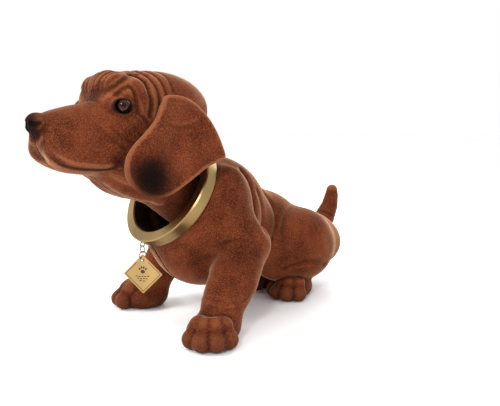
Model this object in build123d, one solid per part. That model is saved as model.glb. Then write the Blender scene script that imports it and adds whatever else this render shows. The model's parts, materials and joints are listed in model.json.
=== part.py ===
"""Flocked nodding dachshund: a hollow body with a gold collar ring, and a head that hangs in it.

Frame: the dog faces -Y, its left side is +X, up is +Z, the soles stand on Z = 0.
Every place below is given as (forward, left, up) from the collar ring's centre line, in mm,
and spot() turns it into the model's frame, whose origin is the middle of the whole footprint.
"""
import os
from math import atan2, cos, degrees, radians, sin

from build123d import *

# ---------------------------------------------------------------- driving dimensions
MID_LENGTH = -42.5        # where the middle of the dog's length lies, forward of the collar
MID_WIDTH = 7.5           # and the middle of its width, to the left of the collar
BODY_WALL = 2.0
HEAD_WALL = 1.4
GAP = 0.3                 # play between pieces that move on each other
ROOM = 400.0              # larger than the whole dog; the side of a box that cuts it in half

RING_HEIGHT = 93.0        # collar ring's centre above the ground
RING_TILT = 33.0          # its front face looks this far above straight ahead
RING_OUTER = 41.0
RING_INNER = 33.0
RING_DEPTH = 9.0
RING_CHAMFER = 0.8
SPIGOT_OUTER = 36.8       # the sleeve behind the ring that fits inside the neck
SPIGOT_DEPTH = 5.0

HANG_FORWARD = -22.0      # the vertical line on which the head hangs and turns
HOOK_HEIGHT = 113.5
HOOK_WIRE = 1.0           # radii of the hanger's wires
EYE_WIRE = 0.8
EYE_LOOP = 2.4            # loop radius, to the middle of the wire
NOD_HEIGHT = 104.25       # the cross bar that the head nods on
BAR_WIRE = 1.0
BAR_REACH = 7.0
STAPLE_DROP = 12.0        # from the bar down to the ends of its legs
HOOK_ROUTE = [            # from the sleeve's rear, back, down and forward again to a raised tip
    (-24.6, 0, 118.4), (-34, 0, 117.6), (-34, 0, HOOK_HEIGHT), (-17.4, 0, HOOK_HEIGHT),
    (-15.6, 0, HOOK_HEIGHT + 3.4),
]
HOOK_BEND = 1.6
BARREL_RADIUS = 2.5
BARREL_FLOOR = 1.0        # under the stem's head inside the barrel
STEM_HEAD_RADIUS, STEM_HEAD_HEIGHT = 1.5, 0.9
HEAD_TURN = 6.0           # the head rests turned this far to the dog's left

NECK_PITCH = 36.0         # slope of the neck's own axis
NECK_END_BACK = 72.0      # how far the neck reaches behind the ring's centre
NECK_END_RADIUS = 17.5
WEIGHT_LENGTH = 19.5
PLUG_THICKNESS = 2.0

EYE_RADIUS = 5.2
EYE_STEM_RADIUS = 1.2
EYE_STEM_START, EYE_STEM_END = 10.0, 3.0     # inwards from the eyeball's centre
EAR_THICKNESS = 4.0
EAR_ROOT = ((24, 22, 146), (24, 37, 146))
EAR_ROOT_RADIUS = 7.0

LINK_WIRE = 0.4           # wire of the small gold links
TAG_SIDE = 20.0
TAG_THICKNESS = 0.9
TAG_FACING = 40.0         # the tag looks this far round to the dog's left
EYELET_LOOP = 1.7
LINK_LOOP = 2.7
LINK_STEP = 2 * LINK_LOOP - 2 * LINK_WIRE - GAP
LINK_FORWARD = 24.0
EYELET = (LINK_FORWARD, 0, 58.2)
UPPER_LINK = (LINK_FORWARD, 0, EYELET[2] - EYELET_LOOP - LINK_LOOP + 2 * LINK_WIRE + GAP)
LOWER_LINK = (LINK_FORWARD, 0, UPPER_LINK[2] - LINK_STEP)
TAG_HOLE_RADIUS = 1.3
TAG_HOLE_TO_CORNER = 4.2
TAG_CORNER_RADIUS = 0.6

EYE_DROP = HOOK_HEIGHT + HOOK_WIRE + GAP + EYE_WIRE - EYE_LOOP
LOWER_EYE = NOD_HEIGHT - BAR_WIRE - GAP - EYE_WIRE + EYE_LOOP
BARREL_BOTTOM = LOWER_EYE + EYE_LOOP - EYE_WIRE / 2
BARREL_TOP = 109.9


# ---------------------------------------------------------------- places and simple shapes
def spot(forward, left, up):
    return Vector(left, MID_LENGTH - forward, up)


def heading(forward, left, up):
    return Vector(left, -forward, up)


def facing_plane(forward, up, tilt):
    """A plane across the dog, its normal ahead and tilted up, its y axis up and back."""
    return Plane(origin=spot(forward, 0, up), x_dir=(1, 0, 0),
                 z_dir=heading(cos(radians(tilt)), 0, sin(radians(tilt))))


def ellipse_across(top, bottom, half_width, shrink=0.0):
    """An elliptical section that spans from its top to its bottom point on the middle line."""
    rise, run = top[1] - bottom[1], top[0] - bottom[0]
    half_height = (rise ** 2 + run ** 2) ** 0.5 / 2
    plane = facing_plane((top[0] + bottom[0]) / 2, (top[1] + bottom[1]) / 2, degrees(atan2(-run, rise)))
    return plane * Ellipse(half_width - shrink, half_height - shrink)


def sections_across(sections, shrink, end_shift):
    """The sections of a loft; a shrunk loft also stops short of the outer one's end."""
    last_top, last_bottom, last_width = sections[-1]
    last = ((last_top[0] + end_shift, last_top[1]), (last_bottom[0] + end_shift, last_bottom[1]), last_width)
    return [ellipse_across(*section, shrink) for section in [*sections[:-1], last]]


def egg(centre, radii, shrink=0.0):
    """An ellipsoid, given by its forward, left and up radii."""
    forward, left, up = (radius - shrink for radius in radii)
    return Pos(spot(*centre)) * scale(Sphere(1), by=(left, forward, up))


def limb(stations, shrink=0.0):
    """A round limb through (centre, radius) stations, each section square to the limb's run."""
    centres = [spot(*centre) for centre, _ in stations]
    faces = []
    for number, (_, radius) in enumerate(stations):
        before = centres[max(number - 1, 0)]
        after = centres[min(number + 1, len(centres) - 1)]
        faces.append(Plane(origin=centres[number], z_dir=after - before) * Circle(radius - shrink))
    return loft(faces)


def rod(start, end, radius):
    first, last = spot(*start), spot(*end)
    return Plane(origin=first, z_dir=last - first) * Cylinder(
        radius, (last - first).length, align=(Align.CENTER, Align.CENTER, Align.MIN))


def wire_loop(centre, normal, loop_radius, wire_radius):
    return Plane(origin=spot(*centre), z_dir=heading(*normal)) * Torus(loop_radius, wire_radius)


def turned(shape):
    """Turns a piece of the head from straight ahead to its resting angle."""
    return shape.rotate(Axis(spot(HANG_FORWARD, 0, 0), (0, 0, 1)), HEAD_TURN)


def left_half(shape):
    return shape & (Pos(ROOM / 2, 0, 0) * Box(ROOM, 2 * ROOM, 2 * ROOM))


RING_PLANE = facing_plane(0, RING_HEIGHT, RING_TILT)
NECK_AXIS = (cos(radians(NECK_PITCH)), sin(radians(NECK_PITCH)))


def along_neck(distance):
    """A point on the neck's axis, ahead of the ring's centre by distance."""
    return (distance * NECK_AXIS[0], 0, RING_HEIGHT + distance * NECK_AXIS[1])


# ---------------------------------------------------------------- body
TORSO = [                     # top point, bottom point, half width
    ((-38, 122), (6, 40), 43),
    ((-60, 112), (-22, 25), 44),
    ((-89, 93), (-62, 22), 38),
    ((-120, 78), (-100, 20), 37),
    ((-149, 67), (-138, 14), 35),
    ((-168, 54), (-166, 16), 23),
    ((-176, 42), (-176, 24), 9),
]
LEFT_LEG = [                  # the dog stands with its left front foot a little ahead
    ((-30, 33, 84), 19),
    ((-33, 44, 62), 21),
    ((-21, 51, 40), 19.5),
    ((-5, 55, 24), 16),
    ((0, 57, 12), 16),
]
RIGHT_LEG = [                 # given as if it were a left leg, then mirrored
    ((-30, 33, 84), 19),
    ((-34, 40, 62), 20),
    ((-26, 44, 40), 18),
    ((-13, 42, 24), 15.5),
    ((-8, 42, 12), 15.5),
]
LEFT_PAW = ((5.5, 57, 8), (21, 21, 14))
RIGHT_PAW = ((-2, 42, 8), (20, 20, 14))
HAUNCH = ((-112, 25, 42), (34, 25, 32))
HIND_FOOT = ((-111, 24, 8), (24, 16, 14))
TOE_RADII = (8, 8, 9.5)
TOE_HEIGHT = 7.0
TOE_FAN = 27.0                # degrees from one toe to the next
PAW_SPLAY, PAW_REACH = 46.0, 14.5
HIND_SPLAY, HIND_REACH = 14.0, 17.0
NECK_OPENING = 39.5           # radius of the body's mouth behind the ring
NECK_WELL_DEPTH = 30.0
TAIL = [
    ((-160, 0, 50), 11.5),
    ((-171, 0, 58), 9.5),
    ((-178, 0, 68), 7.6),
    ((-180.5, 0, 80), 5.6),
]
TAIL_TIP_HEIGHT = 7.5
TAIL_PLUG_RADIUS = 6.5
TAIL_PLUG_END, TAIL_HOLE_END, TAIL_ROOT = (-151, 0, 46), (-149, 0, 45), (-162, 0, 52)


def toes(foot, splay, reach):
    """Four round toes fanned across the front of a left foot, splayed out from straight ahead."""
    (forward, left, _), _ = foot
    for number in range(4):
        angle = radians(splay + (number - 1.5) * TOE_FAN)
        yield egg((forward + reach * cos(angle), left + reach * sin(angle), TOE_HEIGHT), TOE_RADII)


def trunk(shrink=0.0):
    """Chest, belly and rump as one filled solid, with its walls moved in by shrink."""
    mouth = RING_PLANE.offset(-RING_DEPTH / 2) * Circle(NECK_OPENING - shrink)
    return loft([mouth] + sections_across(TORSO, shrink, shrink))


def half_solid(leg, paw):
    """The left half of the body as a filled solid, with this front leg and the hind one."""
    shoulder, shoulder_radius = leg[0]
    solid = trunk() + limb(leg) + egg(shoulder, (shoulder_radius,) * 3)
    for centre, radii in (HAUNCH, HIND_FOOT, paw):
        solid += egg(centre, radii)
    for toe in [*toes(paw, PAW_SPLAY, PAW_REACH), *toes(HIND_FOOT, HIND_SPLAY, HIND_REACH)]:
        solid += toe
    above_ground = Pos(0, 0, ROOM / 2) * Box(2 * ROOM, 2 * ROOM, ROOM)
    return left_half(solid & above_ground)


def build_body():
    """Two halves that meet on the middle plane, with a hollow trunk and solid legs, and a tail."""
    left_filled = half_solid(LEFT_LEG, LEFT_PAW)
    right_filled = mirror(half_solid(RIGHT_LEG, RIGHT_PAW), about=Plane.YZ)
    hollow = trunk(BODY_WALL) + RING_PLANE.offset(-RING_DEPTH / 2 - 2 * BODY_WALL) * Cylinder(
        NECK_OPENING - BODY_WALL, NECK_WELL_DEPTH, align=(Align.CENTER, Align.CENTER, Align.MIN))
    plug = rod(TAIL_PLUG_END, TAIL_ROOT, TAIL_PLUG_RADIUS)
    plug_hole = rod(TAIL_HOLE_END, TAIL_ROOT, TAIL_PLUG_RADIUS + GAP / 2)
    tip, tip_radius = TAIL[-1]
    outside = limb(TAIL) + egg(tip, (tip_radius, tip_radius, TAIL_TIP_HEIGHT)) - left_filled - right_filled
    tail = max((outside + plug).solids(), key=lambda solid: solid.volume)
    hollow_left = left_half(hollow)
    return {"body_shell_left": left_filled - hollow_left - plug_hole,
            "body_shell_right": right_filled - mirror(hollow_left, about=Plane.YZ) - plug_hole,
            "tail": tail}


# ---------------------------------------------------------------- collar ring and tag
def build_collar():
    """The gold ring with its inner sleeve, and the wire eyelet under it."""
    band = RING_PLANE * (Cylinder(RING_OUTER, RING_DEPTH) - Cylinder(RING_INNER, RING_DEPTH))
    sleeve = RING_PLANE.offset(-RING_DEPTH / 2) * (
        Cylinder(SPIGOT_OUTER, SPIGOT_DEPTH, align=(Align.CENTER, Align.CENTER, Align.MAX))
        - Cylinder(RING_INNER, SPIGOT_DEPTH, align=(Align.CENTER, Align.CENTER, Align.MAX)))
    rims = band.edges().filter_by(GeomType.CIRCLE)
    ring = chamfer(rims, RING_CHAMFER) + sleeve
    eyelet = wire_loop(EYELET, (0, 1, 0), EYELET_LOOP, LINK_WIRE)
    return {"collar_ring": ring - eyelet - build_hook(), "collar_eyelet": eyelet - ring}


def build_hook():
    """A steel wire hook whose root is set in the sleeve's rear."""
    route = FilletPolyline(*[spot(*point) for point in HOOK_ROUTE], radius=HOOK_BEND)
    start = Plane(origin=route @ 0, z_dir=route % 0)
    return sweep(start * Circle(HOOK_WIRE), path=route)


def build_tag():
    """Two wire links and a square plate hung by its corner."""
    upper = wire_loop(UPPER_LINK, (1, 0, 0), LINK_LOOP, LINK_WIRE)
    lower = wire_loop(LOWER_LINK, (0, 1, 0), LINK_LOOP, LINK_WIRE)
    hole_up = LOWER_LINK[2] - LINK_LOOP - TAG_HOLE_RADIUS + LINK_WIRE + GAP
    facing = Plane(origin=spot(LINK_FORWARD, 0, hole_up),
                   z_dir=heading(cos(radians(TAG_FACING)), sin(radians(TAG_FACING)), 0),
                   x_dir=heading(-sin(radians(TAG_FACING)), cos(radians(TAG_FACING)), 0))
    half_diagonal = TAG_SIDE / 2 ** 0.5
    square = Pos(0, TAG_HOLE_TO_CORNER - half_diagonal) * Rot(0, 0, 45) * RectangleRounded(
        TAG_SIDE, TAG_SIDE, TAG_CORNER_RADIUS)
    plate = extrude(square - Circle(TAG_HOLE_RADIUS), TAG_THICKNESS / 2, both=True)
    return {"tag_link_upper": upper, "tag_link_lower": lower, "tag": facing * plate}


# ---------------------------------------------------------------- hanger
def hanging(shape, up):
    return Pos(spot(HANG_FORWARD, 0, up)) * shape


def build_hanger():
    """The wire eye that drops over the hook, and the barrel swivel that turns below it."""
    on_line = (HANG_FORWARD, 0, EYE_DROP)
    upward = (Align.CENTER, Align.CENTER, Align.MIN)
    stem_bottom = BARREL_BOTTOM + BARREL_FLOOR
    eye = wire_loop(on_line, (1, 0, 0), EYE_LOOP, EYE_WIRE)
    stem = hanging(Cylinder(EYE_WIRE, EYE_DROP - EYE_LOOP - stem_bottom, align=upward), stem_bottom)
    head = hanging(Cylinder(STEM_HEAD_RADIUS, STEM_HEAD_HEIGHT, align=upward), stem_bottom)
    barrel = hanging(Cylinder(BARREL_RADIUS, BARREL_TOP - BARREL_BOTTOM, align=upward), BARREL_BOTTOM)
    chamber = hanging(Cylinder(STEM_HEAD_RADIUS + GAP, STEM_HEAD_HEIGHT + 2 * GAP, align=upward),
                      stem_bottom - GAP)
    mouth = hanging(Cylinder(EYE_WIRE + GAP, BARREL_TOP - stem_bottom, align=upward), stem_bottom)
    lower_eye = wire_loop((HANG_FORWARD, 0, LOWER_EYE), (0, 1, 0), EYE_LOOP, EYE_WIRE)
    return {"hanger_eye": eye + stem + head, "swivel": turned(barrel + lower_eye - chamber - mouth)}


# ---------------------------------------------------------------- head
SKULL = ((20, 0, 147), (44, 31.5, 31))
JAW = ((46, 0, 121), (38, 26, 26))
MUZZLE = [                    # top point, bottom point, half width
    ((40, 165), (44, 97), 27),
    ((64, 158), (60, 103), 25),
    ((80, 152), (79, 109), 21),
    ((92, 148.5), (91, 114), 17),
    ((99, 145), (97.5, 121), 12.5),
    ((102, 140), (101, 129), 6),
]
EYEBALL = (54, 19.5, 151.5)
EAR_OUTLINE = [               # forward, up, seen from the side
    (34, 157.5), (24, 157), (14, 154), (3.5, 147), (-5.5, 135), (-11, 120), (-7, 116.5), (5, 112),
    (20, 103.5), (32, 98), (42, 97), (52, 99.5), (59, 106), (61.5, 113), (60, 121.5), (55, 128.5),
    (48, 135), (41, 142.5), (36.5, 151),
]
EAR_FLARE_BACK, EAR_FLARE_DOWN = 0.14, 0.06
EAR_MIDDLE = (22, 39, 125)
EAR_TOP, EAR_DROP = 158.0, 50.0
RIGHT_EAR_BACK = 11.0         # how much further back the right ear's lower edge hangs


def neck_solid(shrink=0.0):
    stations = [
        (along_neck(-NECK_END_BACK), NECK_END_RADIUS), (along_neck(0), 18),
        ((12, 0, 104), 21), ((26, 0, 120), 25), ((34, 0, 134), 26),
    ]
    return limb(stations, shrink)


def head_solid(shrink=0.0):
    muzzle = loft(sections_across(MUZZLE, shrink, -shrink))
    return egg(*SKULL, shrink) + egg(*JAW, shrink) + neck_solid(shrink) + muzzle


def build_ear(head, set_back):
    """A left ear: a leaf that flares outwards to its rear and lower edges, with a root in the skull."""
    leaf_plane = Plane(origin=spot(*EAR_MIDDLE),
                       x_dir=heading(-1, EAR_FLARE_BACK, 0),
                       z_dir=heading(EAR_FLARE_BACK, 1, EAR_FLARE_DOWN))
    points = [(EAR_MIDDLE[0] - forward + set_back * (EAR_TOP - up) / EAR_DROP, up - EAR_MIDDLE[2])
              for forward, up in EAR_OUTLINE]
    outline = leaf_plane.offset(-EAR_THICKNESS / 2) * make_face(Spline(*points, periodic=True))
    leaf = extrude(outline, EAR_THICKNESS)
    root = rod(*EAR_ROOT, EAR_ROOT_RADIUS) - head
    return leaf + max(root.solids(), key=lambda solid: solid.volume)


def build_head():
    """Two hollow halves with a neck, and all that is fixed in them."""
    outer, hollow, staple = head_solid(), head_solid(HEAD_WALL), build_staple()
    neck_mouth = rod(along_neck(-NECK_END_BACK - 8), along_neck(-NECK_END_BACK + 6),
                     NECK_END_RADIUS - HEAD_WALL)
    eyeball = egg(EYEBALL, (EYE_RADIUS,) * 3)
    stem_ends = [(EYEBALL[0], EYEBALL[1] - inwards, EYEBALL[2]) for inwards in (EYE_STEM_START, EYE_STEM_END)]
    stem = rod(*stem_ends, EYE_STEM_RADIUS)
    shell = left_half(outer - hollow - neck_mouth - staple - eyeball)
    eye = eyeball + stem
    weight_start = -NECK_END_BACK + PLUG_THICKNESS
    weight = rod(along_neck(weight_start), along_neck(weight_start + WEIGHT_LENGTH), NECK_END_RADIUS)
    plug = rod(along_neck(-NECK_END_BACK), along_neck(weight_start), NECK_END_RADIUS)
    nodes = {
        "head_shell_left": shell, "head_shell_right": mirror(shell, about=Plane.YZ),
        "ear_left": build_ear(outer, 0.0),
        "ear_right": mirror(build_ear(outer, RIGHT_EAR_BACK), about=Plane.YZ),
        "eye_left": eye, "eye_right": mirror(eye, about=Plane.YZ),
        "neck_staple": staple, "counterweight": weight & hollow - staple, "weight_plug": plug & hollow,
    }
    return {name: turned(shape) for name, shape in nodes.items()}


def build_staple():
    """The cross bar above the neck, with two legs through the neck's wall."""
    ends = [(HANG_FORWARD, side * BAR_REACH, NOD_HEIGHT) for side in (1, -1)]
    staple = rod(*ends, BAR_WIRE)
    for end in ends:
        staple += egg(end, (BAR_WIRE,) * 3)
        staple += rod(end, (end[0], end[1], NOD_HEIGHT - STAPLE_DROP), BAR_WIRE)
    return staple


# ---------------------------------------------------------------- output
def main():
    os.makedirs("parts", exist_ok=True)
    nodes = build_body() | build_collar() | build_tag() | build_hanger() | build_head()
    nodes["hanger_hook"] = build_hook()
    for name, shape in nodes.items():
        export_step(Pos(-MID_WIDTH, 0, 0) * shape, f"parts/{name}.step")


if __name__ == "__main__":
    main()
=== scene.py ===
"""The looks of the flocked nodding dachshund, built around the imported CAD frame.

Lengths inside the sculpting code are millimetres in the dog's own directions: forward, left and up
(f, l, u), measured from the point on the ground under the collar ring's centre. Paired forms are
sculpted as left ones, and mirrored for the right side.
"""
import json
import math

import bmesh
import bpy
import numpy as np
import openvdb
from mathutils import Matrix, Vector


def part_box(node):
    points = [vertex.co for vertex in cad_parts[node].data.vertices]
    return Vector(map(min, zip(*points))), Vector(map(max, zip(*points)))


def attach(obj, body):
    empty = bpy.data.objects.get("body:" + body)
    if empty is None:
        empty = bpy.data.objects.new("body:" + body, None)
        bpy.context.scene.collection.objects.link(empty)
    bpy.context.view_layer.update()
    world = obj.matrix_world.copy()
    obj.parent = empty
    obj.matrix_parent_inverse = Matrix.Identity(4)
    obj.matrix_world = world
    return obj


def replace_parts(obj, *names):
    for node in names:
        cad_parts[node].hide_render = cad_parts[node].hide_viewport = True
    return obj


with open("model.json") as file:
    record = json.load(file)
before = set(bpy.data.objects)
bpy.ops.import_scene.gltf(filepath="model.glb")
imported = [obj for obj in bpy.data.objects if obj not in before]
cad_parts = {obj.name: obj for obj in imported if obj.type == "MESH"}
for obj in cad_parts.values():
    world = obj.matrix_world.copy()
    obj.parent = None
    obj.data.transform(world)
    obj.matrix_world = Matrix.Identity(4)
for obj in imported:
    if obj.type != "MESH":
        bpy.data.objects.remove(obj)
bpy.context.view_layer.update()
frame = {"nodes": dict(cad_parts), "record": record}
JOINTS = {joint["name"]: joint for joint in frame["record"]["behaviour"]["joints"]}

# ---------------------------------------------------------------- the frame's own places
HANG_FORWARD = -22.0                  # the head's vertical turning line, from the ring's centre
RING_HEIGHT, RING_TILT = 93.0, math.radians(33.0)
RING_AHEAD = (math.cos(RING_TILT), math.sin(RING_TILT))     # the way that the ring faces: forward, up
RING_BACK_FACE = -4.6                                       # along that way, where the body starts
MIDDLE_X = JOINTS["head_turn"]["pos_m"][0] * 1000
MIDDLE_Y = JOINTS["head_turn"]["pos_m"][1] * 1000 + HANG_FORWARD
NOD_AXIS = JOINTS["head_nod"]["axis"]
HEAD_TURN = math.atan2(NOD_AXIS[1], NOD_AXIS[0])


def straight_points(points):
    """(forward, left, up) in mm to the row frame's metres."""
    forward, left, up = np.asarray(points, float).T
    return np.stack([left + MIDDLE_X, MIDDLE_Y - forward, up], axis=-1) / 1000


def turned_points(points):
    """The same for the head, which is sculpted facing straight ahead and rests turned."""
    x, y, z = straight_points(points).T
    x, y = x - MIDDLE_X / 1000, y - (MIDDLE_Y - HANG_FORWARD) / 1000
    cosine, sine = math.cos(HEAD_TURN), math.sin(HEAD_TURN)
    return np.stack([cosine * x - sine * y + MIDDLE_X / 1000,
                     sine * x + cosine * y + (MIDDLE_Y - HANG_FORWARD) / 1000, z], -1)


# ---------------------------------------------------------------- sculpting with distance fields
FAR = 30.0                # the distance in empty space
OUTSIDE = 6.0             # and the one beyond a block, when it is meshed
MARGIN = 6.0              # how far beyond a form, besides its blend, the clay is worked
TINY = 1e-6


def smooth_min(a, b, blend):
    h = np.clip(0.5 + 0.5 * (b - a) / blend, 0, 1)
    return b + (a - b) * h - blend * h * (1 - h)


def smooth_max(a, b, blend):
    return -smooth_min(-a, -b, blend)


def egg(centre, radii, pitch=0.0, yaw=0.0, roll=0.0):
    """An ellipsoid's distance function; pitch lifts its front, yaw turns its front to the left."""
    cp, sp = math.cos(math.radians(pitch)), math.sin(math.radians(pitch))
    cy, sy = math.cos(math.radians(yaw)), math.sin(math.radians(yaw))
    cr, sr = math.cos(math.radians(roll)), math.sin(math.radians(roll))

    def distance(f, l, u):
        f, l, u = f - centre[0], l - centre[1], u - centre[2]
        f, l = cy * f + sy * l, cy * l - sy * f
        f, u = cp * f + sp * u, cp * u - sp * f
        l, u = cr * l + sr * u, cr * u - sr * l
        f, l, u = f / radii[0], l / radii[1], u / radii[2]
        k0 = np.sqrt(f * f + l * l + u * u) + TINY
        k1 = np.sqrt((f / radii[0]) ** 2 + (l / radii[1]) ** 2 + (u / radii[2]) ** 2) + TINY
        return k0 * (k0 - 1) / k1

    reach = max(radii)
    return distance, np.array(centre) - reach, np.array(centre) + reach


def limb(stations):
    """A chain of round cones through (forward, left, up, radius) stations."""
    stations = np.array(stations, float)

    def distance(f, l, u):
        best = None
        for (af, al, au, ar), (bf, bl, bu, br) in zip(stations[:-1], stations[1:]):
            df, dl, du = bf - af, bl - al, bu - au
            run = df * df + dl * dl + du * du
            t = np.clip(((f - af) * df + (l - al) * dl + (u - au) * du) / run, 0, 1)
            d = np.sqrt((f - af - t * df) ** 2 + (l - al - t * dl) ** 2 + (u - au - t * du) ** 2)
            d = d - (ar + t * (br - ar))
            best = d if best is None else np.minimum(best, d)
        return best

    reach = stations[:, 3:]
    return distance, (stations[:, :3] - reach).min(0), (stations[:, :3] + reach).max(0)


def smooth_curve(points, steps=6):
    """A Catmull-Rom curve through the points, in any number of dimensions."""
    points = np.asarray(points, float)
    ends = np.vstack([2 * points[0] - points[1], points, 2 * points[-1] - points[-2]])
    out = []
    for a, b, c, d in zip(ends[:-3], ends[1:-2], ends[2:-1], ends[3:]):
        for t in np.arange(steps) / steps:
            out.append(0.5 * (2 * b + (c - a) * t + (2 * a - 5 * b + 4 * c - d) * t ** 2
                              + (3 * b - a - 3 * c + d) * t ** 3))
    return np.array(out + [points[-1]])


def side_path_distance(points):
    """Distance, seen from the side, to a curve through (forward, up) points."""
    points = smooth_curve(points)

    def distance(f, u):
        best = None
        for (af, au), (bf, bu) in zip(points[:-1], points[1:]):
            df, du = bf - af, bu - au
            t = np.clip(((f - af) * df + (u - au) * du) / (df * df + du * du + TINY), 0, 1)
            d = (f - af - t * df) ** 2 + (u - au - t * du) ** 2
            best = d if best is None else np.minimum(best, d)
        return np.sqrt(best)

    return distance


class Clay:
    """A block of space in which a solid is built up as a signed distance, negative inside."""

    def __init__(self, low, high, step):
        self.low, self.step = np.array(low, float), step
        counts = np.ceil((np.array(high) - self.low) / step).astype(int) + 1
        self.axes = [(start + step * np.arange(count)).astype(np.float32)
                     for start, count in zip(self.low, counts)]
        self.field = np.full(counts, FAR, np.float32)

    def places(self, part=(slice(None),) * 3):
        """The (f, l, u) of a part of the block, or of all of it."""
        f, l, u = (axis[piece] for axis, piece in zip(self.axes, part))
        return f[:, None, None], l[None, :, None], u[None, None, :]

    def work(self, form, blend, join):
        """Joins a form to the clay near it; what lies to the right is treated as if to the left."""
        distance, low, high = form
        first = ((low - blend - MARGIN - self.low) / self.step).astype(int)
        last = ((high + blend + MARGIN - self.low) / self.step).astype(int) + 2
        first, last = (np.clip(cells, 0, self.field.shape) for cells in (first, last))
        part = tuple(slice(a, b) for a, b in zip(first, last))
        f, l, u = self.places(part)
        self.field[part] = join(self.field[part], distance(f, np.abs(l), u), blend)

    def add(self, form, blend):
        self.work(form, blend, smooth_min)

    def cut(self, form, blend):
        self.work(form, blend, lambda field, distance, soft: smooth_max(field, -distance, soft))

    def press(self, depth_at):
        """Pushes the surface in by a depth, or out where it is negative, given at every point."""
        f, l, u = self.places()
        self.field += depth_at(f, np.abs(l), u).astype(np.float32)

    def keep_skin(self):
        """Remembers the form before it is hollowed and cut, for bulge()."""
        self.skin = self.field.copy()

    def bulge(self, points, reach):
        """How strongly the skin bulges at each point, per mm; negative in its hollows."""
        spread = max(1, round(reach / self.step))
        cells = np.round((points - self.low) / self.step).astype(int)
        cells = np.clip(cells, spread, np.array(self.skin.shape) - 1 - spread)
        total = -6 * self.skin[tuple(cells.T)]
        for way in [*np.eye(3, dtype=int), *-np.eye(3, dtype=int)]:
            total = total + self.skin[tuple((cells + spread * way).T)]
        return total / (spread * self.step) ** 2

    def mesh(self, name, place, mirrored=False):
        grid = openvdb.FloatGrid(OUTSIDE)
        grid.copyFromArray(self.field)
        points, quads = grid.convertToQuads(isovalue=0.0)
        points = points * self.step + self.low
        if mirrored:
            points[:, 1] *= -1
            quads = quads[:, ::-1]
        mesh = bpy.data.meshes.new(name)
        mesh.from_pydata(place(points).tolist(), [], quads[:, ::-1].tolist())
        mesh.shade_smooth()
        piece = bpy.data.objects.new(name, mesh)
        bpy.context.scene.collection.objects.link(piece)
        return piece, points


def give_attribute(piece, name, values):
    attribute = piece.data.attributes.new(name, "FLOAT", "POINT")
    attribute.data.foreach_set("value", np.clip(values, 0, 1).astype(np.float32))


def spot_at(points, centre, radius, softness):
    """1 inside a ball and 0 outside it, with a soft edge."""
    distance = np.linalg.norm((points - np.array(centre)), axis=1)
    return 1 / (1 + np.exp((distance - radius) / softness))


def bump_line(distance, width):
    return np.exp(-(distance / width) ** 2)


# Painted light from the skin's bulging: a painted highlight on its ridges and painted shade in its hollows.
RELIEF_REACH = 2.0
RIDGE_FROM, RIDGE_SPAN, RIDGE_MOST = 0.11, 0.75, 0.5        # the bulge, per mm, and how far it lightens as painted highlight
HOLLOW_FROM, HOLLOW_SPAN, HOLLOW_MOST = 0.03, 0.5, 0.6      # and the same where it is negative, darkening as painted shade


def paint_relief_shading(piece, clay, points, painted):
    """Lightens the ridges of a piece as painted highlight and darkens its hollows as painted shade, besides
    the painted shade it is given along its creases.
    """
    bulge = clay.bulge(points, RELIEF_REACH)
    hollow = np.clip((-bulge - HOLLOW_FROM) / HOLLOW_SPAN, 0, HOLLOW_MOST)
    give_attribute(piece, "ridge_highlight", np.clip((bulge - RIDGE_FROM) / RIDGE_SPAN, 0, RIDGE_MOST))
    give_attribute(piece, "crease_shade", np.maximum(painted, hollow))


# ---------------------------------------------------------------- body
BODY_LOW, BODY_HIGH, BODY_STEP = (-186, -1.5, -1.5), (34, 88, 132), 1.1
BODY_WALL = 1.7
HOLLOW_REAR, HOLLOW_FLOOR = -96, 14       # the hollow's rear end and its lowest point
SEAM_PLAY = 0.1                           # between a half's edge and the middle plane
SOLE_ROUNDING = 1.5

# Each form stands with its blend: how softly it melts into those before it.
NECK_STUB = limb([(-5.0, 0, 89.7, 39.0), (-22, 0, 80, 40.0)]), 1
TORSO = [
    (egg((-28, 0, 61), (40, 41, 40)), 10),
    (egg((-42, 0, 79), (37, 38, 37)), 12),
    (egg((-84, 0, 56), (46, 34, 34), pitch=14), 14),
    (egg((-134, 0, 42), (43, 35, 27), pitch=10), 14),
]
SHOULDER = egg((-24, 29, 82), (19, 15, 31), pitch=6, roll=-12), 9
FRONT_LEGS = {      # the dog stands with its left front foot ahead; both are given as if left ones
    "left": (limb([(-27, 33, 72, 18.5), (-33, 42, 57, 18.0), (-16, 50, 35, 17.2), (-4, 54, 22, 14.8),
                   (-1, 55.5, 13, 14)]), 7),
    "right": (limb([(-27, 33, 72, 18.0), (-33, 39, 57, 16.5), (-22, 42, 35, 15.5), (-11, 40, 22, 14.0),
                    (-8, 40.5, 13, 13.5)]), 7),
}
ELBOW = egg((-40, 47, 57), (9, 10, 12)), 6
THIGH = egg((-95, 14, 35), (21, 15, 21)), 8
HAUNCH = egg((-115, 21, 43), (33, 25, 30), pitch=22), 6
THIGH_HOLLOW = egg((-128, 52, 50), (10, 6, 17), pitch=-20), 6

FRONT_PAWS = {"left": (6.5, 55.5), "right": (-2, 42)}       # forward, left
HIND_PAW = (-110, 20)
PAW_SPLAY, PAW_SIZE = 46.0, (22, 19, 1.0)                   # degrees; length, width and toe size
HIND_SPLAY, HIND_SIZE = 12.0, (23, 15, 0.95)
TOE_COUNT, TOE_FAN = 4, 27.0                                # degrees from one toe to the next
OUTER_TOE_REACH = 0.91
PAD_UP, PAD_THICKNESS, PAD_LENGTH, PAD_WIDTH, PAD_BLEND = 7.0, 11.0, 0.78, 0.9, 5.0
KNUCKLE_REACH, KNUCKLE_UP, KNUCKLE_RADIUS = 0.57, 13.2, 6.8
TIP_REACH, TIP_UP, TIP_RADII = 0.86, 6.0, (7.0, 7.0, 6.6)
TOE_RADII = (5.6, 6.0)                                      # of the toe at its knuckle and its tip
TOE_BLEND, TIP_BLEND = 0.8, 1.2
TOE_LINE_WIDTH, TOE_LINE_START, TOE_LINE_END, TOE_LINE_TOP = 1.3, 11, 32, 19

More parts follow.
